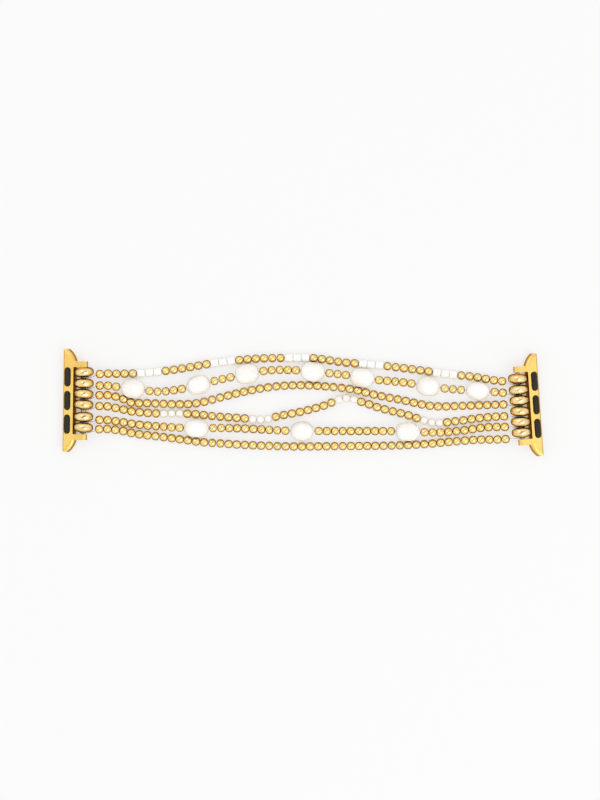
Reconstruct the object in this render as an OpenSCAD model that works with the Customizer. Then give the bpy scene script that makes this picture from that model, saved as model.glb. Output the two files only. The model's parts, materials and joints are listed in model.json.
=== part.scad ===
// Beaded stretch watch strap, lying open with the side that meets the wrist facing up.
// Six strands of beads on elastic run between two slide-in lugs, each with a spring bar.
// X runs along the strap, Y across it and Z up from the table. Lengths are in millimetres.

/* [Strap] */
// How far the right-hand bar lies below the left-hand one, across the strap
end_drop = 1.6; // [0:0.1:3]
// Turn of the left-hand lug in plan, in degrees
left_skew = -0.8; // [-3:0.1:3]
// Turn of the right-hand lug in plan, in degrees
right_skew = 4; // [-3:0.1:6]
// Least gap between two beads on the tightest strand
bead_play = 0.055; // [0.03:0.005:0.12]
// From the axis of a bar to the near end of a strand's first bead
bead_standoff = 3.75; // [3.6:0.05:4.5]
// Run in which a strand comes down to the table from a bar or a large pearl
let_down = 14; // [12:0.5:16]

/* [Beads] */
// Diameter of a gold bead
gold_d = 2.6; // [2.5:0.05:2.6]
// Length of a gold bead along its hole
gold_l = 2.45; // [2.3:0.05:2.5]
// Diameter of a white barrel bead
barrel_d = 2.6; // [2.4:0.05:2.8]
// Length of a white barrel bead
barrel_l = 2.45; // [2.2:0.05:2.6]
// Rounding of a barrel bead's edges
barrel_edge = 0.55; // [0.2:0.05:0.7]
// Diameter of a large pearl
pearl_d = 6; // [5.5:0.1:6.2]
// Length of a large pearl
pearl_l = 7.7; // [7:0.1:8.2]
// Radius of a large pearl's ends
pearl_tip_r = 2.5; // [2.2:0.1:2.7]
// Diameter of a seed pearl
seed_d = 2.5; // [2.3:0.05:2.6]
// Length of a seed pearl
seed_l = 2.3; // [2.1:0.05:2.4]
// Radius of a seed pearl's ends
seed_tip_r = 0.8; // [0.6:0.05:1]
// Diameter of the hole through every bead
bead_bore = 1; // [0.9:0.05:1.1]

/* [Elastic] */
// Diameter of the elastic cord
cord_d = 0.36; // [0.3:0.02:0.4]
// Gap between the two passes of the cord inside a bead
pass_gap = 0.04; // [0.03:0.01:0.08]
// Gap between the cord and the bar that it goes round
loop_play = 0.07; // [0.03:0.01:0.1]

/* [Spacer rings] */
// Diameter of a spacer ring
ring_d = 6; // [5.6:0.1:6.2]
// Width of a spacer ring at its middle
ring_w = 2.8; // [2.6:0.05:2.85]
// Hole through a spacer ring
ring_hole = 2.1; // [2:0.05:2.4]
// Radius of a spacer ring's rim
ring_rim_r = 1.15; // [0.9:0.05:1.25]
// Room beside each ring for a loop of elastic
loop_room = 0.45; // [0.42:0.01:0.48]

/* [Spring bars] */
// Outer diameter of a bar's barrel
bar_d = 1.5; // [1.4:0.05:1.6]
// Wall of the barrel
bar_wall = 0.2; // [0.15:0.01:0.25]
// Gap between an end of the barrel and the ear beside it
bar_end_gap = 0.15; // [0.1:0.05:0.3]
// Diameter of a bar's end pins
pin_d = 0.8; // [0.7:0.05:0.85]
// Running clearance round a pin
pin_clearance = 0.05; // [0.03:0.01:0.08]
// How deep a pin sits in its ear
pin_reach = 1.4; // [1:0.1:1.8]
// How far a pin can be pressed in beyond what frees it
pin_spare = 0.1; // [0.05:0.05:0.4]
// Wire of the spring in the bar
bar_wire = 0.16; // [0.12:0.01:0.18]
// Turns of the spring in the bar
bar_turns = 12; // [6:1:14]

/* [Lugs] */
// Length of a lug over its wing tips
lug_l = 31.6; // [30:0.1:33]
// Thickness of a lug
lug_t = 3.2; // [3:0.1:3.4]
// From a lug's outer face to the axis of its bar
bar_setback = 6.25; // [6.1:0.05:6.6]
// Space between the two ears
ear_gap = 20.6; // [20.5:0.1:21]
// Thickness of an ear
ear_w = 1.8; // [1.7:0.05:2.1]
// Radius of an ear's nose round the bar
nose_r = 1.15; // [1:0.05:1.3]
// Depth of a wing where it meets its ear
wing_root = 3.9; // [3.7:0.1:4.2]
// Depth of a wing at its tip
wing_tip = 1.5; // [1.3:0.1:2]
// Radius of a wing's curved edge in plan
wing_r = 7; // [5:0.5:10]
// Rounding along a wing's curved edge
wing_edge = 1.1; // [0.5:0.05:1.3]
// Rounding along a lug's outer edges
lug_edge = 0.6; // [0.3:0.05:0.7]
// Rounding of a lug's outer corners in plan
lug_corner = 0.5; // [0.2:0.05:0.8]
// Clearance between a spacer ring and the hollow behind it
hollow_clearance = 0.3; // [0.2:0.05:0.4]

/* [Pads] */
// Length of a pad
pad_l = 5.4; // [5:0.1:6]
// Width of a pad
pad_w = 1.6; // [1.4:0.05:1.7]
// Distance between neighbouring pads
pad_pitch = 7.25; // [6.8:0.05:8]
// From a lug's outer face to the middle of its pads
pad_inset = 1.4; // [1.3:0.05:1.5]
// How far a pad stands above its lug
pad_proud = 0.35; // [0.2:0.05:0.5]
// Bevel round a pad's upper edge
pad_bevel = 0.25; // [0.1:0.05:0.3]
// Depth of a pad's pocket
pocket_depth = 1.2; // [1:0.05:1.4]
// Gap round a pad in its pocket
pocket_gap = 0.05; // [0.03:0.01:0.08]
// Bevel round a pocket's mouth
pocket_bevel = 0.25; // [0.1:0.05:0.3]
// How far the middle pad can be pressed in
detent_travel = 0.5; // [0.3:0.05:0.6]
// Diameter of the stem below the middle pad
stem_d = 1.1; // [0.9:0.05:1.2]
// Running clearance round the stem
stem_clearance = 0.07; // [0.03:0.01:0.1]
// Metal left below the middle pad's spring
floor_t = 0.4; // [0.3:0.05:0.6]
// Wire of the middle pad's spring
detent_wire = 0.14; // [0.1:0.01:0.16]
// Turns of the middle pad's spring
detent_turns = 3; // [2:1:3]

/* [Hidden] */
$fn = 48;
SIDES = ["left", "right"];
GOLD = 0;
BARREL = 1;
PEARL = 2;
SEED = 3;
bead_length = [gold_l, barrel_l, pearl_l, seed_l];
bead_width = [gold_d, barrel_d, pearl_d, seed_d];

// How far a cutting shape runs beyond what it cuts
CUT = 1;

// How much less than half its length a gold bead's rim is rounded by
gold_flat = 0.025;

// The bars lie at the height where the rings rest on the table
bar_z = ring_d / 2;
skew = [left_skew, right_skew];
face = bar_setback;
ear_in = ear_gap / 2;
ear_out = ear_in + ear_w;
lug_half = lug_l / 2;
top = lug_t / 2;

// Beads of each strand from the left, in runs of [kind, count], the top strand first
runs = [
    concat([[GOLD, 5]], [for (i = [1:5]) each [[BARREL, 3], [GOLD, 6]]]),
    concat([[GOLD, 3], [PEARL, 1]], [for (i = [1:3]) each [[GOLD, 5], [PEARL, 1], [GOLD, 3], [PEARL, 1]]],
        [[GOLD, 2]]),
    [[GOLD, 51]],
    concat([[GOLD, 8]], [for (i = [1:4]) each [[SEED, 3], [GOLD, 8]]]),
    [[GOLD, 11], [PEARL, 1], [GOLD, 10], [PEARL, 1], [GOLD, 10], [PEARL, 1], [GOLD, 11]],
    [[GOLD, 51]]
];
STRANDS = [0:5];
kinds = [for (row = runs) [for (run = row) for (i = [1:run[1]]) run[0]]];

// How each strand lies: percent of the way from bar to bar, and millimetres to the side
// of the straight line between its two loops
routes = [
    [[0, 0], [4, 1.2], [8, 1.3], [15, 1.8], [22, 3.1], [28, 4.6], [34, 5.8], [40, 6.6], [48, 7],
        [53, 7], [60, 5.8], [66, 5.4], [72, 4.6], [78, 3.7], [84, 2.7], [90, 2], [94, 1.1],
        [97, 0.7], [100, 0]],
    [[0, 0], [4, 1.05], [8, 0.65], [11, 0.3], [17, -0.6], [22, 0.2], [26, 1.5], [32, 3.6], [38, 5.4],
        [43, 6.5], [49, 6.6], [54, 6.1], [60, 5.4], [66, 4.2], [74, 3.3], [80, 2.1], [86, 1.4], [92, 1],
        [96, 0.7], [100, 0]],
    [[0, 0], [4, 1.35], [8, 0.75], [11, -0.8], [15, -0.9], [21, -1.1], [26, -0.7], [32, 1.4], [38, 3.4],
        [44, 4.8], [50, 5.3], [56, 5], [62, 4.2], [67, 2.65], [73, 1.2], [80, -0.5], [87, -0.3], [93, 0.1],
        [97, 0.3], [100, 0]],
    [[0, 0], [4, 1.25], [8, 0.55], [11, -0.3], [17, -0.8], [25, -0.8], [30, -1.4], [36, -1.8], [41, -2.1],
        [45, -0.9], [50, 0.5], [55, 2.4], [60, 4.9], [64, 3.6], [68, 1.9], [74, 0], [80, -2.3], [86, -1.6],
        [91, -0.6], [96, 0], [100, 0]],
    [[0, 0], [4, 0.8], [8, 0.3], [12, -0.5], [18, -1.1], [25, -1.5], [32, -1.3], [38, -1.5], [46, -1.9],
        [54, -1.9], [62, -1.8], [70, -1.7], [78, -1.9], [82, -1.9], [87, -1.2], [92, -0.2],
        [96, 0], [100, 0]],
    [[0, 0], [4, 1.2], [8, 0.85], [12, -0.2], [17, -0.9], [24, -2], [27, -2.5], [31, -2.8], [37, -3.2],
        [48, -3.5], [56, -3.3], [64, -3.1], [72, -2.8], [78, -2.3], [84, -1.5], [90, -0.8],
        [95, -0.6], [100, 0]]
];

// Places where the strap bends, as shares of the way from bar to bar
bend_shares = [0.176, 0.308, 0.44, 0.583, 0.712, 0.856];

// Spacer rings, top one first: the share of the spare room that lies below each ring,
// and the lean of the side that faces the strands, in degrees
ring_spare = [[0.15, 0, 0, 0.55, 0, 0.25], [0.15, 0, 0.1, 0, 0, 0.3]];
ring_lean = [[6, 0, -3, -3, 0, -3], [6, -1, 0, 5, 4, 0]];
ring_pitch = ring_w + loop_room;
top_ring_gap = 0.1;
spare_room = ear_gap - 6 * ring_pitch - top_ring_gap;
function sum_from(list, i) = i >= len(list) ? 0 : list[i] + sum_from(list, i + 1);
function ring_y(side, k) = -ear_in + loop_room + ring_w / 2 + (5 - k) * ring_pitch
    + spare_room * sum_from(ring_spare[side], k);
function loop_y(side, k) = ring_y(side, k) - ring_pitch / 2;

// Each lug hangs from its bar with its outer edge down on the table
edge_at = [face - lug_edge, top - lug_edge];
lug_tilt = asin((bar_z - lug_edge) / norm(edge_at)) - atan2(edge_at.y, edge_at.x);
lug_reach = edge_at.x * cos(lug_tilt) + edge_at.y * sin(lug_tilt) + lug_edge;

// Bar centres, found so that the whole strap is centred on the origin
function turned(v, a) = [v.x * cos(a) - v.y * sin(a), v.x * sin(a) + v.y * cos(a)];
function reach_x(a) = lug_reach * cos(a) + lug_half * abs(sin(a));
reach_up = lug_half * cos(skew[0]) - lug_reach * sin(skew[0]);
reach_down = lug_half * cos(skew[1]) - (face - wing_tip) * cos(lug_tilt) * sin(skew[1]);
bar_y = [for (s = [1, -1]) (s * end_drop + reach_down - reach_up) / 2];
function bar_x(span) = [for (s = [-1, 1]) (s * span + reach_x(skew[0]) - reach_x(skew[1])) / 2];
function loop_at(span, side, k) = let (p = turned([0, loop_y(side, k)], skew[side]))
    [bar_x(span)[side] + p.x, bar_y[side] + p.y];

// Smooth sideways course through the points of a route
function knot(route, p, i = 0) = i + 2 < len(route) && route[i + 1][0] <= p ? knot(route, p, i + 1) : i;
function lean(route, i) = let (a = route[max(i - 1, 0)], b = route[min(i + 1, len(route) - 1)])
    (b[1] - a[1]) / (b[0] - a[0]);
function sideways(route, p) = let (i = knot(route, p), a = route[i], b = route[i + 1], w = b[0] - a[0],
    t = (p - a[0]) / w)
    (1 + 2 * t) * pow(1 - t, 2) * a[1] + t * t * (3 - 2 * t) * b[1]
    + w * t * pow(1 - t, 2) * lean(route, i) - w * t * t * (1 - t) * lean(route, i + 1);

// Height of a strand: up at the bars and at its pearls, down on the table between them
level_at_bar = 1;
function hump(d, flat, run) = d < flat ? 1 : d > run ? 0 : (1 + cos(180 * (d - flat) / (run - flat))) / 2;
function sum_to(list, n) = n <= 0 ? 0 : list[n - 1] + sum_to(list, n - 1);
lengths = [for (row = kinds) [for (kind = row) bead_length[kind]]];
laid = [for (row = lengths) [for (s = 0, i = 0; i < len(row); s = s + row[i], i = i + 1) s + row[i] / 2]];
total = [for (row = lengths) sum_to(row, len(row))];
low = [for (row = kinds) max([for (kind = row) if (kind != PEARL) bead_width[kind]]) / 2];
pearl_at = [for (k = STRANDS) [for (i = [0:len(kinds[k]) - 1]) if (kinds[k][i] == PEARL)
    0.5 + (laid[k][i] - total[k] / 2) / (total[k] + 2 * bead_standoff)]];
function all_low(values, i = 0) = i >= len(values) ? 1 : (1 - values[i]) * all_low(values, i + 1);
function height(span, k, f) =
    let (at_bar = hump(span * min(f, 1 - f), level_at_bar, let_down),
        at_pearl = 1 - all_low([for (p = pearl_at[k]) hump(span * abs(f - p), pearl_l / 2, let_down)]))
    low[k] + at_bar * (bar_z - low[k]) + (1 - at_bar) * at_pearl * (pearl_d / 2 - low[k]);

// Course of a strand in space, and its length measured along small steps
STEPS = 200;
function place(span, k, f) = let (a = loop_at(span, 0, k), b = loop_at(span, 1, k), p = a + (b - a) * f)
    [p.x, p.y + sideways(routes[k], 100 * f), height(span, k, f)];
function measured(span, k) = let (p = [for (i = [0:STEPS]) place(span, k, i / STEPS)])
    [for (i = 0, s = 0; i <= STEPS; i = i + 1, s = s + (i <= STEPS ? norm(p[i] - p[i - 1]) : 0))
        [s, i / STEPS]];

// The strap is as long as its longest strand needs
needed = [for (k = STRANDS) total[k] + 2 * bead_standoff + bead_play * (len(kinds[k]) - 1)];
first_span = max(needed);
span = first_span + max([for (k = STRANDS) needed[k] - measured(first_span, k)[STEPS][0]]);
along = [for (k = STRANDS) measured(span, k)];
play = [for (k = STRANDS) (along[k][STEPS][0] - 2 * bead_standoff - total[k]) / (len(kinds[k]) - 1)];
bars = [for (side = [0, 1]) [bar_x(span)[side], bar_y[side], bar_z]];
bends = [for (share = bend_shares) bars[0].x + share * (bars[1].x - bars[0].x)];

// Centre and direction of every bead, and the strap segment that it lies in
function at_length(k, s) = place(span, k, lookup(s, along[k]));
function unit(v) = v / norm(v);
centres = [for (k = STRANDS) [for (i = [0:len(kinds[k]) - 1])
    at_length(k, bead_standoff + laid[k][i] + i * play[k])]];
axes = [for (k = STRANDS) [for (i = [0:len(kinds[k]) - 1])
    let (s = bead_standoff + laid[k][i] + i * play[k], h = lengths[k][i] / 2)
    unit(at_length(k, s + h) - at_length(k, s - h))]];
function segment(x) = len([for (b = bends) if (x > b) b]) + 1;
function beads_in(kind, part) = [for (k = STRANDS) for (i = [0:len(kinds[k]) - 1])
    if (kinds[k][i] == kind && segment(centres[k][i].x) == part) [centres[k][i], axes[k][i]]];
PARTS = [1:7];
gold_parts = [for (n = PARTS) if (len(beads_in(GOLD, n)) > 0) n];
barrel_parts = [for (n = PARTS) if (len(beads_in(BARREL, n)) > 0) n];
pearl_parts = [for (n = PARTS) if (len(beads_in(PEARL, n)) > 0) n];
seed_parts = [for (n = PARTS) if (len(beads_in(SEED, n)) > 0) n];

// A flat oval made of four arcs, with small arcs of radius r at its ends
module oval(long, short, r) {
    big = ((long - r) * (long - r) + short * short - r * r) / (2 * (short - r));
    join = big * (long - r) / (big - r);
    intersection() {
        translate([0, short - big]) circle(big, $fn = 128);
        translate([0, big - short]) circle(big, $fn = 128);
        square([2 * join, 2 * short], center = true);
    }
    for (s = [-1, 1]) translate([s * (long - r), 0]) circle(r);
}

// The half of a turned outline that lies outside its hole
module turn(hole_d, size) {
    rotate_extrude() intersection() {
        translate([hole_d / 2, -size]) square(2 * size);
        children();
    }
}

module gold_bead() {
    turn(bead_bore, gold_d, $fn = 24) oval(gold_d / 2, gold_l / 2, gold_l / 2 - gold_flat);
}

module barrel_bead() {
    inner = barrel_d / 2 - barrel_edge;
    turn(bead_bore, barrel_d, $fn = 32) {
        square([2 * inner, barrel_l], center = true);
        square([barrel_d, barrel_l - 2 * barrel_edge], center = true);
        for (s = [-1, 1]) translate([inner, s * (barrel_l / 2 - barrel_edge)]) circle(barrel_edge);
    }
}

// A round belly and two smaller round ends, with the slopes that touch them. The corners of
// the slopes lie a thousandth inside the arcs, so that the outline has no stray step there.
module large_pearl() {
    belly_r = pearl_d / 2;
    tip_at = pearl_l / 2 - pearl_tip_r;
    slope = asin((belly_r - pearl_tip_r) / tip_at);
    square_off = [cos(slope), sin(slope)];
    inside = 0.001;
    turn(bead_bore, pearl_l) {
        circle(belly_r);
        for (end = [0, 1]) mirror([0, end]) {
            polygon([[0, 0], (belly_r - inside) * square_off,
                [0, tip_at] + (pearl_tip_r - inside) * square_off, [0, tip_at]]);
            translate([0, tip_at]) circle(pearl_tip_r);
        }
    }
}

module seed_pearl() {
    turn(bead_bore, seed_d, $fn = 32) oval(seed_d / 2, seed_l / 2, seed_tip_r);
}

// Puts a bead at its centre with its hole along the strand
module threaded(beads) {
    for (bead = beads) translate(bead[0])
        rotate([0, acos(bead[1].z), atan2(bead[1].y, bead[1].x)]) children();
}

module gold_beads(n) {
    color("#e3b662") threaded(beads_in(GOLD, n)) gold_bead();
}

module white_barrel_beads(n) {
    color("#f6efe2") threaded(beads_in(BARREL, n)) barrel_bead();
}

module large_pearls(n) {
    color("#f5f1ea") threaded(beads_in(PEARL, n)) large_pearl();
}

module seed_pearls(n) {
    color("#f3e9df") threaded(beads_in(SEED, n)) seed_pearl();
}

// A round tube of many flat sides swept along points. A closed one joins its two ends.
module swept(points, d, sides, closed) {
    n = len(points);
    rings = [for (i = [0:n - 1])
        let (a = closed ? points[(i + n - 1) % n] : points[max(i - 1, 0)],
            b = closed ? points[(i + 1) % n] : points[min(i + 1, n - 1)],
            t = unit(b - a), e = unit(cross(t, cross([0, 1, 0.001], t))), g = cross(t, e))
        each [for (j = [0:sides - 1]) let (turn = 360 * j / sides)
            points[i] + d / 2 * (e * cos(turn) + g * sin(turn))]];
    walls = [for (i = [0:closed ? n - 1 : n - 2]) for (j = [0:sides - 1])
        let (p = i * sides, q = (i + 1) % n * sides, u = (j + 1) % sides)
        each [[p + j, q + j, q + u], [p + j, q + u, p + u]]];
    caps = closed ? [] : [for (j = [1:sides - 2])
        each [[0, j, j + 1], [(n - 1) * sides, (n - 1) * sides + j + 1, (n - 1) * sides + j]]];
    polyhedron(rings, concat(walls, caps));
}

// Elastic: one closed loop that goes through a strand's beads above, round the right-hand
// bar, back through the same beads below and round the left-hand bar
pass = (cord_d + pass_gap) / 2;
loop_r = bar_d / 2 + loop_play + cord_d / 2;
LOOP_TURN = 105;
LOOP_STEPS = 8;
function bead_end(k, i, s) = centres[k][i] + s * axes[k][i] * lengths[k][i] / 2;
function joint_points(k) = let (n = len(kinds[k])) concat([bead_end(k, 0, -1)],
    [for (i = [1:n - 1]) (bead_end(k, i - 1, 1) + bead_end(k, i, -1)) / 2], [bead_end(k, n - 1, 1)]);
function round_bar(side, k) = let (o = loop_at(span, side, k), out = turned([side * 2 - 1, 0], skew[side]))
    [for (i = [0:LOOP_STEPS]) let (a = LOOP_TURN * (1 - 2 * i / LOOP_STEPS))
        [o.x + loop_r * cos(a) * out.x, o.y + loop_r * cos(a) * out.y, bar_z + loop_r * sin(a)]];
// Beside its ring the elastic stays close to its loop, and then turns towards its strand
beside_run = 2.3;
beside_shift = 0.1;
function beside_ring(side, k, s) = let (i = side * (len(kinds[k]) - 1),
    mouth = bead_end(k, i, side * 2 - 1), o = loop_at(span, side, k),
    inward = turned([1 - side * 2, 0], skew[side]), across = turned([0, 1], skew[side]),
    start = -loop_r * cos(LOOP_TURN), run = ([mouth.x, mouth.y] - o) * inward,
    share = (beside_run - start) / (run - start), p = o + beside_run * inward + beside_shift * across,
    leaves = bar_z + s * loop_r * sin(LOOP_TURN))
    [p.x, p.y, leaves + share * (mouth.z + s * pass - leaves)];
function backwards(list) = [for (i = [len(list) - 1:-1:0]) list[i]];
module elastic_loop(k) {
    strand = joint_points(k);
    color("#e9ece8") swept(concat([beside_ring(0, k, 1)], [for (p = strand) p + [0, 0, pass]],
        [beside_ring(1, k, 1)], round_bar(1, k),
        [beside_ring(1, k, -1)], backwards([for (p = strand) p - [0, 0, pass]]),
        [beside_ring(0, k, -1)], backwards(round_bar(0, k))), cord_d, 6, true);
}

// Puts a piece in a bar's own frame: X outward, Y along the bar and Z up
module at_bar(side) {
    translate(bars[side]) rotate([0, 0, skew[side]]) mirror([1 - side, 0, 0]) children();
}

module spacer_ring(side, k) {
    color("#d9a94f") at_bar(side) translate([0, ring_y(side, k), 0]) rotate([90, 0, -ring_lean[side][k]])
        turn(ring_hole, ring_d) oval(ring_d / 2, ring_w / 2, ring_rim_r);
}

// Spring bar: a barrel whose closed-in ends keep two collared pins and the spring between them
bar_half = ear_in - bar_end_gap;
bar_bore = bar_d - 2 * bar_wall;
collar_l = 0.8;
mouth_l = 0.4;
collar_gap = 0.05;
collar_top = bar_half - mouth_l - collar_gap;
pin_travel = pin_reach + pin_spare;

module along_bar() {
    rotate([-90, 0, 0]) children();
}

module bar_barrel(side) {
    color("#c9cbcc") at_bar(side) along_bar() difference() {
        cylinder(h = 2 * bar_half, d = bar_d, center = true);
        cylinder(h = 2 * (bar_half - mouth_l), d = bar_bore, center = true);
        cylinder(h = 2 * bar_half + CUT, d = pin_d + 2 * pin_clearance, center = true);
    }
}

module bar_pin(side, end) {
    foot = collar_top - collar_l;
    color("#b9bbbd") at_bar(side) rotate([end == "top" ? -90 : 90, 0, 0]) translate([0, 0, foot]) {
        cylinder(h = collar_l, d = bar_bore - 2 * pin_clearance);
        cylinder(h = ear_in + pin_reach - foot, d = pin_d);
    }
}

// A coil spring round Z between two heights
COIL_STEPS = 8;
module coil(d, wire, turns, from, to) {
    steps = turns * COIL_STEPS;
    r = (d - wire) / 2;
    rise = (to - from - 2 * wire) / steps;
    swept([for (i = [0:steps]) let (a = 360 * i / COIL_STEPS)
        [r * cos(a), r * sin(a), from + wire + i * rise]], wire, 4, false);
}

module bar_spring(side) {
    end = collar_top - collar_l;
    color("#9a9da0") at_bar(side) along_bar()
        coil(bar_bore - 2 * pin_clearance, bar_wire, bar_turns, -end, end);
}

// Puts a piece of a lug in its bar's frame, tilted as it rests
module in_lug(side) {
    at_bar(side) rotate([0, lug_tilt, 0]) children();
}

module pocket_outline(l, w, h, grow) {
    // Two round ends and the straight stretch between them, wider at the top by grow
    for (s = [-1, 1]) translate([0, s * (l - w) / 2, 0]) cylinder(h = h, d1 = w, d2 = w + 2 * grow);
    rotate([90, 0, 0]) linear_extrude(l - w, center = true)
        polygon([[-w / 2, 0], [w / 2, 0], [w / 2 + grow, h], [-w / 2 - grow, h]]);
}

module pad_pocket() {
    w = pad_w + 2 * pocket_gap;
    l = pad_l + 2 * pocket_gap;
    translate([0, 0, top - pocket_depth]) pocket_outline(l, w, pocket_depth + CUT, 0);
    translate([0, 0, top - pocket_bevel]) pocket_outline(l, w, 2 * pocket_bevel, 2 * pocket_bevel);
}

// Round-edged disc whose rim makes the curved edge of a wing
module wing_disc() {
    rotate_extrude($fn = 96) {
        square([wing_r, lug_t - 2 * wing_edge], center = false);
        translate([0, -wing_edge]) square([wing_r - wing_edge, lug_t]);
        for (z = [0, lug_t - 2 * wing_edge]) translate([wing_r - wing_edge, z]) circle(wing_edge);
    }
}

module wing(end) {
    tip = [face - wing_tip, lug_half];
    root = [face - wing_root, ear_out];
    chord = tip - root;
    rise = sqrt(wing_r * wing_r - norm(chord) * norm(chord) / 4);
    middle = (tip + root) / 2 + rise * [chord.y, -chord.x] / norm(chord);
    from_y = ear_out - ear_w / 2;
    mirror([0, end, 0]) intersection() {
        translate([middle.x, middle.y, wing_edge - top]) wing_disc();
        translate([root.x, from_y, -top]) cube([wing_root, lug_half - from_y, lug_t]);
    }
}

// An ear swells from its round nose to the lug's whole thickness, just inside the lug
ear_root = face - wing_root + 0.5;
module ear(end) {
    mirror([0, end, 0]) translate([0, ear_out, 0]) rotate([90, 0, 0]) linear_extrude(ear_w) {
        circle(nose_r);
        polygon([[0, nose_r], [ear_root, top], [face - pad_inset, top],
            [face - pad_inset, -top], [ear_root, -top], [0, -nose_r]]);
    }
}

// A bar from the ears' noses to the outer face, with its outer edges rounded by r
module rounded_face(half, r) {
    translate([-nose_r, -half]) square([face + nose_r - r, 2 * half]);
    translate([-nose_r, r - half]) square([face + nose_r, 2 * (half - r)]);
    for (s = [-1, 1]) translate([face - r, s * (half - r)]) circle(r);
}

module lug(side) {
    color("#f0c673") in_lug(side) difference() {
        intersection() {
            union() {
                translate([face - wing_root, -ear_out, -top]) cube([wing_root, 2 * ear_out, lug_t]);
                for (end = [0, 1]) {
                    wing(end);
                    ear(end);
                }
            }
            rotate([90, 0, 0]) linear_extrude(lug_l + CUT, center = true) rounded_face(top, lug_edge);
            linear_extrude(lug_t + CUT, center = true) rounded_face(lug_half, lug_corner);
        }
        along_bar() cylinder(h = ear_gap, r = ring_d / 2 + hollow_clearance, center = true, $fn = 96);
        along_bar() cylinder(h = lug_l, d = pin_d + 2 * pin_clearance, center = true);
        for (n = [-1:1]) translate([face - pad_inset, n * pad_pitch, 0]) pad_pocket();
        translate([face - pad_inset, 0, floor_t - top]) cylinder(h = lug_t, d = stem_d + 2 * stem_clearance);
    }
}

// A pad with round ends and a bevelled upper edge
module pad(bottom) {
    edge_at = top + pad_proud - pad_bevel - bottom;
    translate([face - pad_inset, 0, bottom]) {
        pocket_outline(pad_l, pad_w, edge_at, 0);
        translate([0, 0, edge_at]) pocket_outline(pad_l, pad_w, pad_bevel, -pad_bevel);
    }
}

module rubber_pads(side) {
    color("#3a3a34") in_lug(side) for (n = [-1, 1]) translate([0, n * pad_pitch, 0]) pad(top - pocket_depth);
}

// The middle pad stops just above its pocket's floor, and its stem reaches below that floor
detent_gap = 0.05;
stem_below = 0.5;
detent_under = top - pocket_depth + detent_travel + detent_gap;
stem_foot = top - pocket_depth - stem_below;

module detent_pad(side) {
    color("#44443d") in_lug(side) {
        pad(detent_under);
        translate([face - pad_inset, 0, stem_foot]) cylinder(h = detent_under - stem_foot, d = stem_d);
    }
}

module detent_spring(side) {
    color("#9a9da0") in_lug(side) translate([face - pad_inset, 0, 0])
        coil(stem_d, detent_wire, detent_turns, floor_t - top, stem_foot);
}

for (n = gold_parts) gold_beads(n);
for (n = barrel_parts) white_barrel_beads(n);
for (n = pearl_parts) large_pearls(n);
for (n = seed_parts) seed_pearls(n);
for (k = STRANDS) elastic_loop(k);
for (s = [0, 1]) {
    for (k = STRANDS)
        spacer_ring(s, k);
    lug(s);
    rubber_pads(s);
    detent_pad(s);
    detent_spring(s);
    bar_barrel(s);
    bar_spring(s);
    for (end = ["top", "bottom"])
        bar_pin(s, end);
}
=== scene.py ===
import json
import math

import bmesh
import bpy
from mathutils import Matrix, Vector, noise


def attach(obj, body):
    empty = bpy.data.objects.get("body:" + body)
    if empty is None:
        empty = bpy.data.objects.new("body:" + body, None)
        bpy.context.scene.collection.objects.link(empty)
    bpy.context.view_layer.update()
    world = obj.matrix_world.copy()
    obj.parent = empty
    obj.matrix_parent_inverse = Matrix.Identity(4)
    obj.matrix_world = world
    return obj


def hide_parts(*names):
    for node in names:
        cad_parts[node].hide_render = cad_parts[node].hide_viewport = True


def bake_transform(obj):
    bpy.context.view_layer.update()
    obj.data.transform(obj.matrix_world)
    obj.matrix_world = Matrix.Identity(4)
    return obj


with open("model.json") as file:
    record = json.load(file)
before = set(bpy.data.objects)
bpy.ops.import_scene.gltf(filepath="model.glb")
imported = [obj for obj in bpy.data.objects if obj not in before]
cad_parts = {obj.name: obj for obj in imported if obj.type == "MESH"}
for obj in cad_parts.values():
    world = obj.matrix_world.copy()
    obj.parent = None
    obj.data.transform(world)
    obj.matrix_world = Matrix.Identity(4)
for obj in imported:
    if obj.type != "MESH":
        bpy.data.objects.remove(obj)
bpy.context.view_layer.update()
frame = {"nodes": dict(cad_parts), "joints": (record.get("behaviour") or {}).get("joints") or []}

nodes = frame["nodes"]


# Studio: the table, the light and the camera
# The strap lies on a white table that gives a light of its own, darkened by painted shade in the
# crevices under the strap, under a white tent with two lamps. The camera looks straight down
# through a slit in the tent, whose dark shape shows as a small slanting mark in the middle of every
# polished bead.

MM = 0.001
CAMERA_ABOVE = 1.0
# How much of the table the picture's longer side takes in, and where the picture's middle lies
SEEN_LENGTH = 0.2462
SEEN_CENTRE = (-0.00094, 0.0008)
TABLE_HALF = 2
TABLE_PAINT = (0.25, 0.25, 0.25, 1)
TABLE_GLOW = 0.685
CREVICE_REACH = 3 * MM
# Painted shade on the table's glow, from the deepest crevice under the strap, 0, to the open table, 1
CREVICE_SHADE_TONES = [(0.1, (0.5, 0.42, 0.3)), (0.35, (0.96, 0.94, 0.9)), (0.7, 1)]
# From straight below, 0, past the horizon, 0.5, to straight above, 1
TENT_TONES = [(0, (0.26, 0.135, 0.015)), (0.12, (0.36, 0.21, 0.035)), (0.28, (0.5, 0.36, 0.13)),
    (0.42, (0.82, 0.74, 0.58)), (0.5, 0.92), (0.75, 1.0)]
TENT_GLOW = 0.95
SLIT_ACROSS = (0.7, -0.7, 0)
SLIT_HALF_WIDTH = 0.13
SLIT_FROM_HEIGHT = 0.86
SLIT_TONE = (0.16, 0.13, 0.09, 1)
# Each lamp's name, place, width and power
LAMPS = (
    ("window_side", (0.36, -0.4, 0.8), 0.6, 2.2),
    ("fill_side", (-0.35, 0.4, 0.85), 0.55, 0.9),
)


def plug(tree, node, **sockets):
    """Sets a node's sockets by name, or by place as _0 or _1, or plugs another node's output in."""
    for key, value in sockets.items():
        socket = node.inputs[int(key[1:])] if key[0] == "_" else node.inputs[key.replace("_", " ")]
        if isinstance(value, bpy.types.NodeSocket):
            tree.links.new(value, socket)
        else:
            socket.default_value = value


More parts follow.
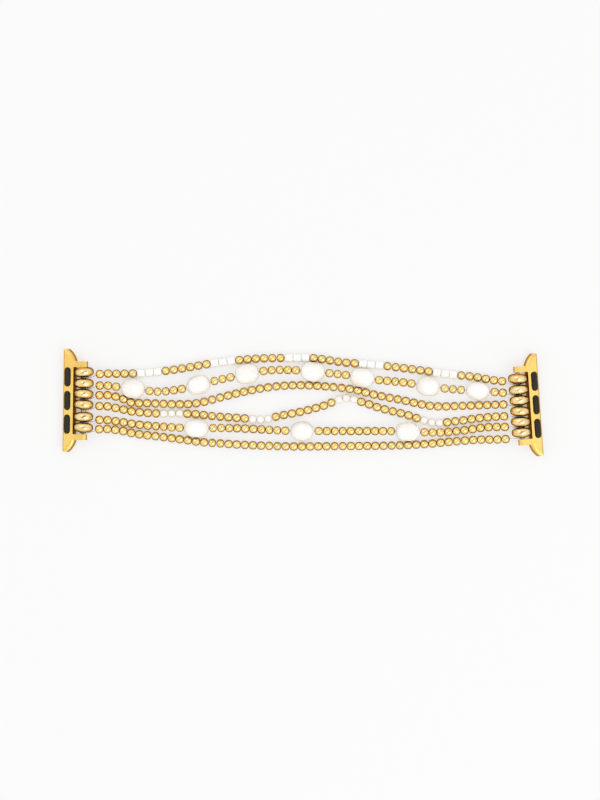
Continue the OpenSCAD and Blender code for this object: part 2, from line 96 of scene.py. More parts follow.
def add(tree, kind, settings=None, **sockets):
    """A new shader node with its settings and its sockets."""
    made = tree.nodes.new("ShaderNode" + kind)
    for key, value in (settings or {}).items():
        setattr(made, key, value)
    plug(tree, made, **sockets)
    return made


def maths(tree, operation, *values, kind="Math", result=0):
    """What a Math node, or a VectorMath node, gives for these values."""
    sockets = {f"_{place}": value for place, value in enumerate(values)}
    return add(tree, kind, {"operation": operation}, **sockets).outputs[result]


def ramp(tree, value, stops):
    """A colour ramp over a value, from (place, colour) stops. A single number is a grey."""
    made = add(tree, "ValToRGB", _0=value)
    band = made.color_ramp.elements
    while len(band) < len(stops):
        band.new(0.5)
    for element, (place, colour) in zip(band, stops):
        element.position = place
        element.color = (*colour, 1) if isinstance(colour, tuple) else (colour, colour, colour, 1)
    return made.outputs[0]


table = bpy.data.meshes.new("white_table")
table_mesh = bmesh.new()
bmesh.ops.create_grid(table_mesh, x_segments=8, y_segments=8, size=TABLE_HALF)
table_mesh.to_mesh(table)
table_mesh.free()
table_top = bpy.data.objects.new("white_table", table)
bpy.context.scene.collection.objects.link(table_top)
paint = bpy.data.materials.new("matt_white_table")
paint.use_nodes = True
painted = paint.node_tree
# Painted shade: the table's glow turns a darker brown-grey where the strap crowds in close above it
crevice = add(painted, "AmbientOcclusion", Distance=CREVICE_REACH).outputs["AO"]
plug(painted, painted.nodes["Principled BSDF"], Base_Color=TABLE_PAINT, Roughness=0.9,
    Specular_IOR_Level=0.1, Emission_Color=ramp(painted, crevice, CREVICE_SHADE_TONES),
    Emission_Strength=TABLE_GLOW)
table.materials.append(paint)
table_top.visible_glossy = False

room = bpy.data.worlds.new("soft_studio")
room.use_nodes = True
bpy.context.scene.world = room
sky = room.node_tree
sky.nodes.clear()
direction = add(sky, "TexCoord").outputs["Generated"]
level = add(sky, "SeparateXYZ", Vector=direction).outputs["Z"]
height = add(sky, "MapRange", Value=level, From_Min=-1.0, From_Max=1.0).outputs[0]
tent = ramp(sky, height, TENT_TONES)
aside = maths(sky, "DOT_PRODUCT", direction, SLIT_ACROSS, kind="VectorMath", result="Value")
in_slit = maths(sky, "LESS_THAN", maths(sky, "ABSOLUTE", aside), SLIT_HALF_WIDTH)
overhead_part = maths(sky, "GREATER_THAN", level, SLIT_FROM_HEIGHT)
slit = maths(sky, "MULTIPLY", in_slit, overhead_part)
slit_tent = add(sky, "MixRGB", _0=slit, _1=tent, _2=SLIT_TONE).outputs[0]
backdrop = add(sky, "Background", Color=slit_tent, Strength=TENT_GLOW)
add(sky, "OutputWorld", Surface=backdrop.outputs[0])

for name, place, width, power in LAMPS:
    light = bpy.data.lights.new(name, "AREA")
    light.shape = "DISK"
    light.size = width
    light.energy = power
    lamp = bpy.data.objects.new(name, light)
    lamp.location = place
    lamp.rotation_euler = (-Vector(place)).to_track_quat("-Z", "Y").to_euler()
    bpy.context.scene.collection.objects.link(lamp)

camera = bpy.data.cameras.new("overhead_camera")
camera.lens = camera.sensor_width * CAMERA_ABOVE / SEEN_LENGTH
overhead = bpy.data.objects.new("overhead_camera", camera)
overhead.location = (*SEEN_CENTRE, CAMERA_ABOVE)
bpy.context.scene.collection.objects.link(overhead)
bpy.context.scene.camera = overhead
bpy.context.scene.view_settings.view_transform = "Standard"


# Gold round beads
# Small round brass beads with a bright gold wash, tumbled smooth, with faint pits and a tone
# that drifts a little. They are threaded on the elastic, alone on two of the six strands and
# in runs between the white beads on the other four.

GOLD_WASH = (0.99, 0.77, 0.34)
GOLD_WORN = (0.94, 0.69, 0.26)
GOLD_GLANCING = (0.55, 0.33, 0.07)
# Painted shade: the dark brown the beads get where they crowd their neighbours
GOLD_CREVICE_SHADE = (0.22, 0.10, 0.015)
GOLD_CREVICE = 0.9 * MM
GOLD_WIDTH = 2.6 * MM
GOLD_LONGEST = 2.48 * MM
GOLD_AT_BEND = 2.3 * MM
GOLD_BORE = 0.9 * MM
GOLD_SQUARENESS = 2.3
GOLD_BANDS = 6
GOLD_SIDES = 12
BETWEEN_BEADS = 0.02 * MM
BESIDE_BEND = 0.8 * GOLD_WIDTH
# CAD points closer than this are one
SAME_POINT = 1e-7
# In radians: how sharply a CAD bead turns at its mouth, and from where an edge stays crisp
MOUTH_TURN = 0.6
CRISP_TURN = 1


def finish(name):
    """A fresh material for one finish: its node tree, its main shader and the object's own place."""
    made = bpy.data.materials.new(name)
    made.use_nodes = True
    tree = made.node_tree
    return made, tree, tree.nodes["Principled BSDF"], add(tree, "TexCoord").outputs["Object"]


def grain(tree, place, scale, detail=2.0, stretch=(1, 1, 1)):
    """Fine noise at so many features in a metre, from 0 to 1."""
    spread = add(tree, "Mapping", Vector=place, Scale=stretch).outputs[0]
    return add(tree, "TexNoise", Vector=spread, Scale=scale, Detail=detail).outputs["Fac"]


def metal(name, tones, tone_scale, shine, shine_scale, dents, glancing, crevice_shade=None):
    """Metal whose tone, shine and surface vary a little. Dents are (scale, depth) pairs. Crevice
    shade is a painted shade: the dark colour put where neighbours crowd in, and how wide such crevices
    are."""
    made, tree, shader, place = finish(name)
    tone = ramp(tree, grain(tree, place, tone_scale), [(0.36, tones[0]), (0.64, tones[1])])
    # Painted shade: the tone turns to a dark colour where ambient occlusion finds other parts close by
    if crevice_shade:
        colour, crevice = crevice_shade
        open_air = add(tree, "AmbientOcclusion", {"samples": 8}, Distance=crevice).outputs["AO"]
        crevice_shade_mask = ramp(tree, open_air, [(0.3, 1), (0.75, 0)])
        tone = add(tree, "MixRGB", _0=crevice_shade_mask, _1=tone, _2=(*colour, 1)).outputs[0]
    rough = add(tree, "MapRange", Value=grain(tree, place, shine_scale), From_Min=0.3, From_Max=0.7,
        To_Min=shine[0], To_Max=shine[1])
    dented = {}
    for scale, depth in dents:
        # Each set of dents lies on the ones before it
        bump = add(tree, "Bump", Height=grain(tree, place, scale), Distance=depth, Strength=1.0, **dented)
        dented = {"Normal": bump.outputs[0]}
    plug(tree, shader, Base_Color=tone, Roughness=rough.outputs[0], Metallic=1,
        Specular_Tint=(*glancing, 1), **dented)
    return made


def threaded_places(name):
    """Where a node's beads sit on the elastic, from the left: each hole's middle and direction."""
    shape = bmesh.new()
    shape.from_mesh(nodes[name].data)
    bmesh.ops.remove_doubles(shape, verts=shape.verts, dist=SAME_POINT)
    mouth_edges = {e for e in shape.edges if e.calc_face_angle(0) > MOUTH_TURN}
    mouth_points = {v for e in mouth_edges for v in e.verts}

    def joined(points, edges_of):
        """The points in groups, each holding all that such edges reach, in the order of meeting."""
        met = set()
        for start in points:
            if start in met:
                continue
            met.add(start)
            group = [start]
            for v in group:
                for e in edges_of(v):
                    other = e.other_vert(v)
                    if other not in met:
                        met.add(other)
                        group.append(other)
            yield group

    def round_mouth(v):
        return [e for e in v.link_edges if e in mouth_edges]

    places = []
    for bead in joined(shape.verts, lambda v: v.link_edges):
        mouths = joined([v for v in bead if v in mouth_points], round_mouth)
        middles = [sum((v.co for v in mouth), Vector()) / len(mouth) for mouth in mouths]
        left, right = sorted(middles, key=lambda m: m.x)
        places.append(((left + right) / 2, (right - left).normalized()))
    shape.free()
    return sorted(places, key=lambda p: p[0].x)


def oval_outline(length, width, bore, square, bands, full=0):
    """Half an oval from hole to hole. Squareness 2 is an ellipse, and more is boxier. Full makes
    the right-hand end that much wider, and the left-hand end narrower."""
    start = math.asin((bore / width) ** (square / 2))
    reach = length / 2 / math.cos(start) ** (2 / square)
    outline = []
    for band in range(bands + 1):
        angle = start + (math.pi - 2 * start) * band / bands
        across = math.copysign(abs(math.cos(angle)) ** (2 / square), -math.cos(angle))
        radius = width / 2 * math.sin(angle) ** (2 / square) * (1 + full * across)
        outline.append((reach * across, radius))
    return outline


def turned_bead(outline, sides):
    """A drilled bead round X, spun from its half outline, which starts and ends at the hole."""
    bead = bmesh.new()
    corners = [bead.verts.new((x, 0, radius)) for x, radius in outline]
    for a, b in zip(corners, corners[1:] + corners[:1]):
        bead.edges.new((a, b))
    bmesh.ops.spin(bead, geom=bead.verts[:] + bead.edges[:], cent=(0, 0, 0), axis=(1, 0, 0),
        dvec=(0, 0, 0), angle=2 * math.pi, steps=sides, use_merge=True, use_duplicate=False)
    bmesh.ops.recalc_face_normals(bead, faces=bead.faces)
    for edge in bead.edges:
        edge.smooth = edge.calc_face_angle(0) < CRISP_TURN
    return bead


def gather(shapes):
    """One shape that holds all of these."""
    whole = bmesh.new()
    for shape in shapes:
        one = bpy.data.meshes.new("one_shape")
        shape.to_mesh(one)
        shape.free()
        whole.from_mesh(one)
        bpy.data.meshes.remove(one)
    return whole


def make_piece(name, shape, material):
    """A smooth piece of the scene from its finished shape."""
    for face in shape.faces:
        face.smooth = True
    mesh = bpy.data.meshes.new(name)
    shape.to_mesh(mesh)
    shape.free()
    mesh.materials.append(material)
    piece = bpy.data.objects.new(name, mesh)
    bpy.context.scene.collection.objects.link(piece)
    return piece


def string_up(name, places, beads, material, body):
    """Turns each bead to its own place and lets them stand, as one piece, for the CAD node."""
    for bead, (middle, along) in zip(beads, places):
        turn = Vector((1, 0, 0)).rotation_difference(along).to_matrix().to_4x4()
        bead.transform(Matrix.Translation(middle) @ turn)
    strung = make_piece(name + "_strung", gather(beads), material)
    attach(strung, body)
    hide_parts(name)


# The gold gets painted shade in the crevices between the beads
bead_gold = metal("polished_gold", tones=(GOLD_WORN, GOLD_WASH), tone_scale=420,
    shine=(0.16, 0.3), shine_scale=5000, dents=((900, 0.03 * MM), (5200, 0.006 * MM)),
    glancing=GOLD_GLANCING, crevice_shade=(GOLD_CREVICE_SHADE, GOLD_CREVICE))

joints = {joint["name"]: joint for joint in frame["joints"]}
bends = sorted(joints[name]["pos_m"][0] for name in joints if name.startswith("bend_"))
for name in sorted(n for n in nodes if n.startswith("gold_beads_")):
    places = threaded_places(name)
    beads = []
    for middle, along in places:
        # A bead nearly fills the room to its nearest neighbour, and is shorter beside a bend
        room = min((middle - other).length for other, _ in places if other is not middle)
        at_bend = min(abs(middle.x - bend) for bend in bends) < BESIDE_BEND
        length = min(room - BETWEEN_BEADS, GOLD_AT_BEND if at_bend else GOLD_LONGEST)
        outline = oval_outline(length, GOLD_WIDTH, GOLD_BORE, GOLD_SQUARENESS, GOLD_BANDS)
        beads.append(turned_bead(outline, GOLD_SIDES))
    string_up(name, places, beads, bead_gold, f"strap_{name[-1]}")


# White barrel beads
# Short white barrels cut from shell and drilled end to end, three in a run between runs of
# gold beads on the top strand. Their edges are rounded by tumbling, no two are quite alike,
# and faint layers of the shell cross them.

BARREL_BORE = 1.0 * MM
BARREL_LENGTH = 2.45 * MM
BARREL_WIDTH = 2.6 * MM
BARREL_EDGE = 0.5 * MM
BARREL_EDGE_ANGLES = range(0, 91, 15)
BARREL_SIDES = 44
# The straight side has rings this far from the middle and this far before the rounded edge
MIDDLE_RING = 0.3 * MM
EDGE_RING = 0.1 * MM
# The flat end has a ring this share of the way out from the hole
END_RING = 0.45
# A mouth's lip lies this far in from the end and out from the hole, and the mouth is this deep
BARREL_LIP_IN = 0.03 * MM
BARREL_LIP_OUT = 0.04 * MM
BARREL_MOUTH = 0.12 * MM
# The skin's waves: how long, how high, how far from the hole they are full, and how far apart
# in the noise two beads are taken
BARREL_WAVE = 1.4 * MM
BARREL_UNEVEN = 0.09 * MM
HOLE_SURROUND = 0.4 * MM
NOISE_APART = 7.3
# How many numbers for its beads each strap segment has
BARREL_NUMBERS = 10
SHELL_TONES = [(0.0, (0.955, 0.925, 0.89)), (0.35, (0.975, 0.965, 0.945)),
    (1.0, (0.965, 0.945, 0.92))]


def wobble(bead, bore, number, wave, uneven):
    """Moves a bead's skin in and out by a smooth noise, so that it looks grown or hand-cut. Each
    number gives another skin, and the hole stays round."""
    for v in bead.verts:
        outward = Vector((0, v.co.y, v.co.z))
        reach = min(1, (outward.length - bore / 2) / HOLE_SURROUND)
        swell = noise.noise(v.co / wave + Vector((number * NOISE_APART, number, 0)))
        v.co += outward.normalized() * swell * uneven * reach


def barrel(number):
    """A short drilled barrel with rounded edges, no two numbers quite alike."""
    half = BARREL_LENGTH / 2
    wide = BARREL_WIDTH / 2
    hole = BARREL_BORE / 2
    end_flat = wide - BARREL_EDGE
    right = [(MIDDLE_RING, wide), (half - BARREL_EDGE - EDGE_RING, wide)]
    for degrees in BARREL_EDGE_ANGLES:
        angle = math.radians(degrees)
        x = half - BARREL_EDGE + BARREL_EDGE * math.sin(angle)
        right.append((x, end_flat + BARREL_EDGE * math.cos(angle)))
    right.append((half, end_flat * END_RING + hole * (1 - END_RING)))
    right.append((half - BARREL_LIP_IN, hole + BARREL_LIP_OUT))
    right.append((half - BARREL_MOUTH, hole))
    left = [(-x, radius) for x, radius in reversed(right)]
    bead = turned_bead(left + right, BARREL_SIDES)
    wobble(bead, BARREL_BORE, number, BARREL_WAVE, BARREL_UNEVEN)
    return bead


shell, tree, shader, place = finish("white_shell")
layers = add(tree, "TexWave", {"bands_direction": "X"}, Vector=place, Scale=230, Distortion=6.0,
    Detail=2.0)
rough = add(tree, "MapRange", Value=grain(tree, place, scale=2500), To_Min=0.28, To_Max=0.5)
bump = add(tree, "Bump", Height=grain(tree, place, scale=1800), Distance=0.012 * MM)
plug(tree, shader, Base_Color=ramp(tree, layers.outputs["Fac"], SHELL_TONES),
    Roughness=rough.outputs[0], Subsurface_Weight=0.35, Subsurface_Scale=0.5 * MM,
    Subsurface_Radius=(1, 0.8, 0.65), Coat_Weight=0.3, Coat_Roughness=0.15, Normal=bump.outputs[0])

for name in sorted(n for n in nodes if n.startswith("white_barrel_beads_")):
    places = threaded_places(name)
    part = int(name[-1])
    beads = [barrel(BARREL_NUMBERS * part + i) for i in range(len(places))]
    string_up(name, places, beads, shell, f"strap_{part}")


# Large pearls
# Ten freshwater pearls, drilled lengthwise: seven on the second strand and three on the
# fifth. Each grew into its own oval, some fuller at one end and some nearly square-sided,
# with a thick satiny nacre in which faint rings run round the hole.

PEARL_BORE = 1.0 * MM
PEARL_BANDS = 20
PEARL_SIDES = 48
PEARL_WAVE = 2.6 * MM
# A mouth's lip as on the barrels, and how much deeper than its lip the mouth goes
PEARL_LIP_IN = 0.04 * MM
PEARL_LIP_OUT = 0.05 * MM
PEARL_MOUTH = 0.1 * MM
PEARL_NUMBERS = 20
# By strap segment, each pearl from the left: length and width in millimetres, squareness, how
# much fuller its right-hand end is, and how uneven its skin is in millimetres
PEARL_SHAPES = {
    1: [(7.4, 6.0, 2.1, 0.02, 0.2)],
    2: [(7.65, 5.6, 2.15, -0.02, 0.2), (7.5, 5.95, 2.1, 0.06, 0.45)],
    3: [(7.3, 5.95, 2.6, -0.02, 0.1)],
    4: [(7.0, 5.95, 2.2, 0.0, 0.2), (7.5, 5.9, 2.3, 0.03, 0.35)],
    5: [(7.5, 5.7, 2.3, -0.05, 0.3)],
    6: [(7.5, 5.7, 2.25, -0.03, 0.3), (7.1, 5.95, 2.35, 0.0, 0.2)],
    7: [(7.3, 5.5, 2.1, 0.03, 0.2)],
}
NACRE_TONES = [(0.3, (0.90, 0.85, 0.79)), (0.5, (0.935, 0.91, 0.88)), (0.7, (0.945, 0.93, 0.91))]


def grown_pearl(number, length, width, square, full, uneven, bands=PEARL_BANDS):
    """A drilled oval with slightly flared mouths and an uneven skin, measured in millimetres."""
    outline = oval_outline(length * MM, width * MM, PEARL_BORE, square, bands, full)
    hole = PEARL_BORE / 2
    left = outline[0][0] + PEARL_LIP_IN
    right = outline[-1][0] - PEARL_LIP_IN
    outline[0] = (left, hole + PEARL_LIP_OUT)
    outline[-1] = (right, hole + PEARL_LIP_OUT)
    outline = [(left + PEARL_MOUTH, hole)] + outline + [(right - PEARL_MOUTH, hole)]
    bead = turned_bead(outline, PEARL_SIDES)
    wobble(bead, PEARL_BORE, number, PEARL_WAVE, uneven * MM)
    return bead


pearl, tree, shader, place = finish("pearl")
rough = add(tree, "MapRange", Value=grain(tree, place, scale=900), To_Min=0.2, To_Max=0.42)
rings = add(tree, "TexWave", {"bands_direction": "X"}, Vector=place, Scale=330, Distortion=3.0,
    Detail=1.0)
ridges = add(tree, "Bump", Height=rings.outputs["Fac"], Distance=0.012 * MM)
bump = add(tree, "Bump", Height=grain(tree, place, scale=1400), Distance=0.02 * MM,
    Normal=ridges.outputs[0])
plug(tree, shader, Base_Color=ramp(tree, grain(tree, place, scale=260, detail=1.0), NACRE_TONES),
    Roughness=rough.outputs[0], Subsurface_Weight=0.3, Subsurface_Scale=0.8 * MM,
    Subsurface_Radius=(1, 0.8, 0.6), Coat_Weight=0.35, Coat_Roughness=0.2, Normal=bump.outputs[0])

for part, shapes in PEARL_SHAPES.items():
    name = f"large_pearls_{part}"
    beads = [grown_pearl(PEARL_NUMBERS * part + i, *shape) for i, shape in enumerate(shapes)]
    string_up(name, threaded_places(name), beads, pearl, f"strap_{part}")


# Seed pearls
# Small freshwater pearls, drilled across, in four runs of three on the fourth strand. They
# are a little flattened at the hole, slightly pink, and less even than the gold beads.

# Lengths in millimetres, as for the large pearls
SMALL_LENGTH = 2.28
SMALL_WIDTH = 2.42
SMALL_SQUARENESS = 2.3
SMALL_FULLER = 0.04
SMALL_UNEVEN = 0.16
SMALL_BANDS = 12
SMALL_NUMBERS = 5
IN_A_RUN = 3
PINK_TONES = [(0.3, (0.90, 0.80, 0.76)), (0.5, (0.95, 0.90, 0.87)), (0.7, (0.95, 0.92, 0.91))]

seed_nacre, tree, shader, place = finish("seed_pearl")
rough = add(tree, "MapRange", Value=grain(tree, place, scale=1800), To_Min=0.2, To_Max=0.4)
bump = add(tree, "Bump", Height=grain(tree, place, scale=2200), Distance=0.015 * MM)
plug(tree, shader, Base_Color=ramp(tree, grain(tree, place, scale=700, detail=1.0), PINK_TONES),
    Roughness=rough.outputs[0], Subsurface_Weight=0.3, Subsurface_Scale=0.5 * MM,
    Subsurface_Radius=(1, 0.75, 0.65), Coat_Weight=0.4, Coat_Roughness=0.15, Normal=bump.outputs[0])

for name in sorted(n for n in nodes if n.startswith("seed_pearls_")):
    part = int(name[-1])
    beads = []
    for i in range(IN_A_RUN):
        # The first is fuller to the left, the second even, the third fuller to the right
        full = SMALL_FULLER * (i - 1)
        beads.append(grown_pearl(SMALL_NUMBERS * part + i, SMALL_LENGTH, SMALL_WIDTH,
            SMALL_SQUARENESS, full, SMALL_UNEVEN, SMALL_BANDS))
    string_up(name, threaded_places(name), beads, seed_nacre, f"strap_{part}")


# Elastic
# Six closed loops of clear stretch cord. Each goes through its strand's beads above, round
# the right-hand bar, back through the same beads below and round the left-hand bar. A piece
# here holds all six loops between the middles of two strap segments, across the hinge.

CORD_FULLER = 0.02 * MM
CORD_ROUNDING = 2
BEYOND_THE_ENDS = 1
ON_THE_CUT = 1e-8
CLEAR_TONES = [(0.3, (0.86, 0.87, 0.86)), (0.7, (0.95, 0.95, 0.94))]

clear, tree, shader, place = finish("clear_elastic")
rough = add(tree, "MapRange", Value=grain(tree, place, scale=4000), To_Min=0.06, To_Max=0.18)
drawn = grain(tree, place, scale=3000, stretch=(0.2, 1, 1))
bump = add(tree, "Bump", Height=drawn, Distance=0.006 * MM)
plug(tree, shader, Base_Color=ramp(tree, grain(tree, place, scale=900), CLEAR_TONES),
    Roughness=rough.outputs[0], Transmission_Weight=0.9, IOR=1.48, Normal=bump.outputs[0])

loops = [f"elastic_loop_{strand}" for strand in range(1, 7)]
between_bends = [(a + b) / 2 for a, b in zip(bends, bends[1:])]
cuts = [-BEYOND_THE_ENDS] + between_bends + [BEYOND_THE_ENDS]
for number, bend in enumerate(bends, 1):
    cords = bmesh.new()
    for loop in loops:
        cords.from_mesh(nodes[loop].data)
    bmesh.ops.remove_doubles(cords, verts=cords.verts, dist=SAME_POINT)
    bmesh.ops.join_triangles(cords, faces=cords.faces, angle_face_threshold=0.6, angle_shape_threshold=0.8,
        cmp_seam=False, cmp_sharp=False, cmp_uvs=False, cmp_vcols=False, cmp_materials=False)
    bmesh.ops.recalc_face_normals(cords, faces=cords.faces)
    cords.normal_update()
    for v in cords.verts:
        v.co += v.normal * CORD_FULLER
    for x, outward in ((cuts[number - 1], -1), (cuts[number], 1)):
        everything = cords.verts[:] + cords.edges[:] + cords.faces[:]
        cut = bmesh.ops.bisect_plane(cords, geom=everything, dist=ON_THE_CUT, plane_co=(x, 0, 0),
            plane_no=(outward, 0, 0), clear_outer=True)
        open_rims = [e for e in cut["geom_cut"] if isinstance(e, bmesh.types.BMEdge)]
        bmesh.ops.holes_fill(cords, edges=open_rims)
    elastic = make_piece(f"elastic_over_bend_{number}", cords, clear)
    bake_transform(elastic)
    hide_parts(*loops)
    rounded = elastic.modifiers.new("round_cord", "SUBSURF")
    rounded.levels = CORD_ROUNDING
    rounded.render_levels = CORD_ROUNDING


# Spacer rings
# Six cast brass saucers on each spring bar, gold-washed and brightly polished. Casting and
# polishing left them slightly uneven, so the light runs over them in waves.

RING_WASH = (0.98, 0.78, 0.41)
RING_WORN = (0.92, 0.68, 0.31)
RING_GLANCING = (0.55, 0.34, 0.09)
# Painted shade: the dark brown the rings get where they crowd each other and the lug
RING_CREVICE_SHADE = (0.20, 0.09, 0.015)
RING_CREVICE = 1.2 * MM
RING_ACROSS = 6 * MM
RING_WIDTH = 3.02 * MM
RING_HOLE = 2.1 * MM
RING_SQUARENESS = 2.6
RING_BANDS = 24
RING_SIDES = 64

# The rings get painted shade in the crevices between them
ring_gold = metal("ring_gold", tones=(RING_WORN, RING_WASH), tone_scale=300,
    shine=(0.18, 0.3), shine_scale=3000, dents=((520, 0.25 * MM), (4200, 0.006 * MM)),
    glancing=RING_GLANCING, crevice_shade=(RING_CREVICE_SHADE, RING_CREVICE))
for name in sorted(n for n in nodes if n.startswith("spacer_ring_")):
    outline = oval_outline(RING_WIDTH, RING_ACROSS, RING_HOLE, RING_SQUARENESS, RING_BANDS)
    saucer = turned_bead(outline, RING_SIDES)
    string_up(name, threaded_places(name), [saucer], ring_gold, name)


# Spring bars
# A thin steel tube on each lug with a collared pin in either end and a coil spring between
# them. Pressing a pin in frees the bar from the ear. Steel drawn and lightly polished, and
# the small springs under the lugs' middle pads are of the same wire.

STEEL_DARKER = (0.56, 0.56, 0.56)
STEEL_BRIGHTER = (0.74, 0.74, 0.74)
STEEL_GLANCING = (0.8, 0.8, 0.8)
# Painted shade: the dark brown the bar gets in the narrow gaps between the rings
STEEL_CREVICE_SHADE = (0.16, 0.08, 0.02)
STEEL_CREVICE = 0.6 * MM
WIRE_DARKER = (0.42, 0.42, 0.43)
WIRE_BRIGHTER = (0.62, 0.62, 0.63)
WIRE_GLANCING = (0.7, 0.7, 0.7)


def dress(material, *names):
    """Gives CAD nodes their finish."""
    for name in names:
        for slot in nodes[name].material_slots:
            slot.material = material


# The bar gets painted shade where the rings crowd it
steel = metal("bar_steel", tones=(STEEL_DARKER, STEEL_BRIGHTER), tone_scale=900,
    shine=(0.2, 0.34), shine_scale=4000, dents=((3500, 0.006 * MM),),
    glancing=STEEL_GLANCING, crevice_shade=(STEEL_CREVICE_SHADE, STEEL_CREVICE))
wire = metal("spring_steel", tones=(WIRE_DARKER, WIRE_BRIGHTER), tone_scale=1200,
    shine=(0.28, 0.42), shine_scale=5000, dents=((5000, 0.005 * MM),), glancing=WIRE_GLANCING)
dress(steel, *[n for n in nodes if n.startswith(("bar_barrel_", "bar_pin_"))])
dress(wire, *[n for n in nodes if n.startswith(("bar_spring_", "detent_spring_"))])


# Lugs
# Two cast and machined alloy lugs that slide into the smartwatch case. They are blasted to
# a fine satin and anodised a warm gold, and each has two ears that hold the spring bar.

LUG_GOLD = (0.97, 0.67, 0.2)
LUG_DEEP = (0.93, 0.61, 0.17)
LUG_GLANCING = (0.9, 0.66, 0.3)
# Painted shade for the hollow behind the rings
LUG_HOLLOW_SHADE = (0.30, 0.15, 0.045)
HOLLOW_RADIUS = 3.3 * MM
HALF_EAR_GAP = 10.3 * MM
# The painted shade goes this far into the hollow's wall, and stops this far from the ears
INTO_WALL = 0.06 * MM
OFF_EARS = 0.05 * MM

for side in ("left", "right"):
    satin = metal(f"satin_gold_{side}", tones=(LUG_DEEP, LUG_GOLD), tone_scale=130,
        shine=(0.36, 0.46), shine_scale=9000, dents=((12000, 0.006 * MM), (2500, 0.004 * MM)),
        glancing=LUG_GLANCING)
    # Painted shade: the hollow's wall behind the rings is painted dark brown
    bar = joints[f"lug_swing_{side}"]
    tree = satin.node_tree
    shader = tree.nodes["Principled BSDF"]
    place = add(tree, "TexCoord").outputs["Object"]
    from_bar = maths(tree, "SUBTRACT", place, bar["pos_m"], kind="VectorMath")
    across = maths(tree, "CROSS_PRODUCT", from_bar, bar["axis"], kind="VectorMath")
    away = maths(tree, "LENGTH", across, kind="VectorMath", result="Value")
    along = maths(tree, "DOT_PRODUCT", from_bar, bar["axis"], kind="VectorMath", result="Value")
    near = maths(tree, "LESS_THAN", away, HOLLOW_RADIUS + INTO_WALL)
    between = maths(tree, "LESS_THAN", maths(tree, "ABSOLUTE", along), HALF_EAR_GAP - OFF_EARS)
    hollow = maths(tree, "MULTIPLY", near, between)
    gold = shader.inputs["Base Color"].links[0].from_socket
    tone = add(tree, "MixRGB", _0=hollow, _1=gold, _2=(*LUG_HOLLOW_SHADE, 1)).outputs[0]
    plug(tree, shader, Base_Color=tone)
    dress(satin, f"lug_{side}")


# Pads
# Black rubber pads with round ends and a crowned top, pressed into the lug's pockets. The
# middle one has a stem on a small spring and clicks into the case as the lug slides in.

PAD_LENGTH = 5.4 * MM
PAD_WIDTH = 1.6 * MM
PAD_SIDES = 32
PAD_PITCH = 7.25 * MM
PAD_FROM_BAR = 4.85 * MM
PAD_TOP = 1.95 * MM
CROWN_HEIGHT = 0.5 * MM
# In millimetres: how far each ring of the crown draws in, and how far it rises
CROWN_RINGS = ((0.03, 0.14), (0.07, 0.13), (0.12, 0.1), (0.16, 0.08), (0.2, 0.05))
POCKET_FLOOR = 0.4 * MM
DETENT_UNDER = 0.95 * MM
STEM_FOOT = -0.1 * MM
STEM_WIDTH = 1.1 * MM
STEM_SIDES = 32
STEM_IN_PAD = 0.1 * MM
STEM_BEVEL = 0.1 * MM
# A face whose normal rises more than this, no lower than the walls' end by a hair, is the top
FACES_UP = 0.9
A_HAIR = 1e-6
RUBBER_TONES = [(0.35, (0.013, 0.0125, 0.010)), (0.65, (0.023, 0.022, 0.018))]

rubber, tree, shader, place = finish("black_rubber")
rough = add(tree, "MapRange", Value=grain(tree, place, scale=6000), To_Min=0.38, To_Max=0.55)
bump = add(tree, "Bump", Height=grain(tree, place, scale=9000), Distance=0.008 * MM)
plug(tree, shader, Base_Color=ramp(tree, grain(tree, place, scale=2500), RUBBER_TONES),
    Roughness=rough.outputs[0], Specular_IOR_Level=0.25, Normal=bump.outputs[0])


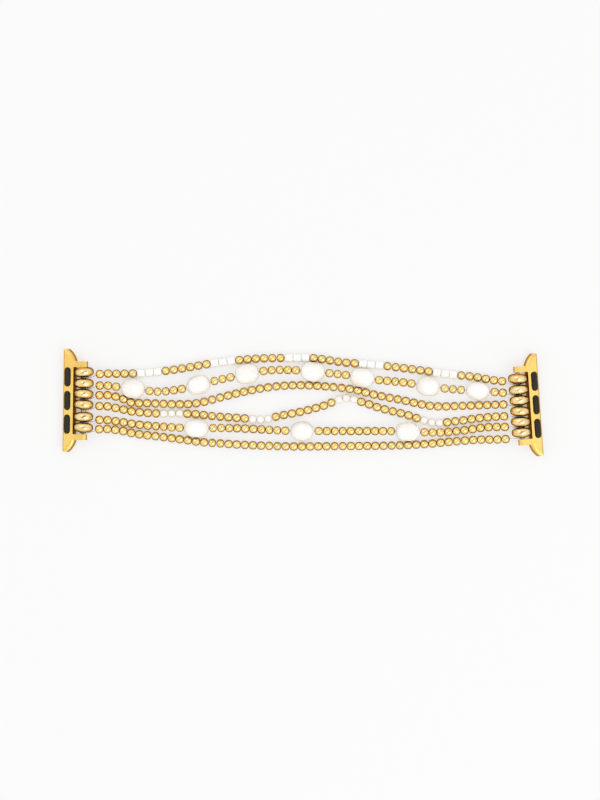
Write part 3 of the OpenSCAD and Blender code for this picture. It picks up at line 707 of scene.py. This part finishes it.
def crowned_pad(bottom):
    """A pad with round ends: straight walls, then rings that draw in and rise to a crown."""
    pad = bmesh.new()
    bmesh.ops.create_circle(pad, cap_ends=True, segments=PAD_SIDES, radius=PAD_WIDTH / 2,
        matrix=Matrix.Rotation(math.pi / PAD_SIDES, 4, "Z"))
    for end in (-1, 1):
        bmesh.ops.translate(pad, verts=[v for v in pad.verts if v.co.y * end > 0],
            vec=(0, end * (PAD_LENGTH - PAD_WIDTH) / 2, 0))
    bmesh.ops.translate(pad, verts=pad.verts, vec=(0, 0, bottom))
    edge = PAD_TOP - CROWN_HEIGHT
    walls = bmesh.ops.extrude_face_region(pad, geom=pad.faces[:])
    raised = [g for g in walls["geom"] if isinstance(g, bmesh.types.BMVert)]
    bmesh.ops.translate(pad, verts=raised, vec=(0, 0, edge - bottom))
    top = [f for f in pad.faces if abs(f.normal.z) > FACES_UP and f.calc_center_median().z > edge - A_HAIR]
    for inward, up in CROWN_RINGS:
        bmesh.ops.recalc_face_normals(pad, faces=pad.faces)
        bmesh.ops.inset_region(pad, faces=top, thickness=inward * MM, depth=up * MM, use_even_offset=True)
    bmesh.ops.recalc_face_normals(pad, faces=pad.faces)
    return pad


def stem():
    """The round peg under a middle pad, its foot bevelled to go into the spring."""
    peg = bmesh.new()
    head = DETENT_UNDER + STEM_IN_PAD
    bmesh.ops.create_cone(peg, cap_ends=True, segments=STEM_SIDES, radius1=STEM_WIDTH / 2,
        radius2=STEM_WIDTH / 2, depth=head - STEM_FOOT,
        matrix=Matrix.Translation((0, 0, (head + STEM_FOOT) / 2)))
    rim = [e for e in peg.edges if e.calc_face_angle(0) > CRISP_TURN and e.verts[0].co.z < 0]
    bmesh.ops.bevel(peg, geom=rim, affect="EDGES", offset=STEM_BEVEL, segments=3, profile=0.5, material=-1)
    return peg


for side, hand in (("left", 1), ("right", -1)):
    bar = joints[f"lug_swing_{side}"]
    up = -Vector(joints[f"detent_press_{side}"]["axis"])
    along = Vector(bar["axis"]) * hand
    inward = along.cross(up)
    seat = Vector(bar["pos_m"]) - inward * hand * PAD_FROM_BAR
    in_lug = Matrix.Translation(seat) @ Matrix((inward, along, up)).transposed().to_4x4()
    fixed = [(pocket, crowned_pad(POCKET_FLOOR)) for pocket in (-1, 1)]
    middle = [(0, crowned_pad(DETENT_UNDER)), (0, stem())]
    for name, body, shapes in (
        (f"rubber_pads_{side}", f"lug_{side}", fixed),
        (f"detent_pad_{side}", f"detent_{side}", middle),
    ):
        for pocket, shape in shapes:
            shape.transform(in_lug @ Matrix.Translation((0, pocket * PAD_PITCH, 0)))
        pads = make_piece(name + "_moulded", gather(shape for _, shape in shapes), rubber)
        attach(pads, body)
        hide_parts(name)
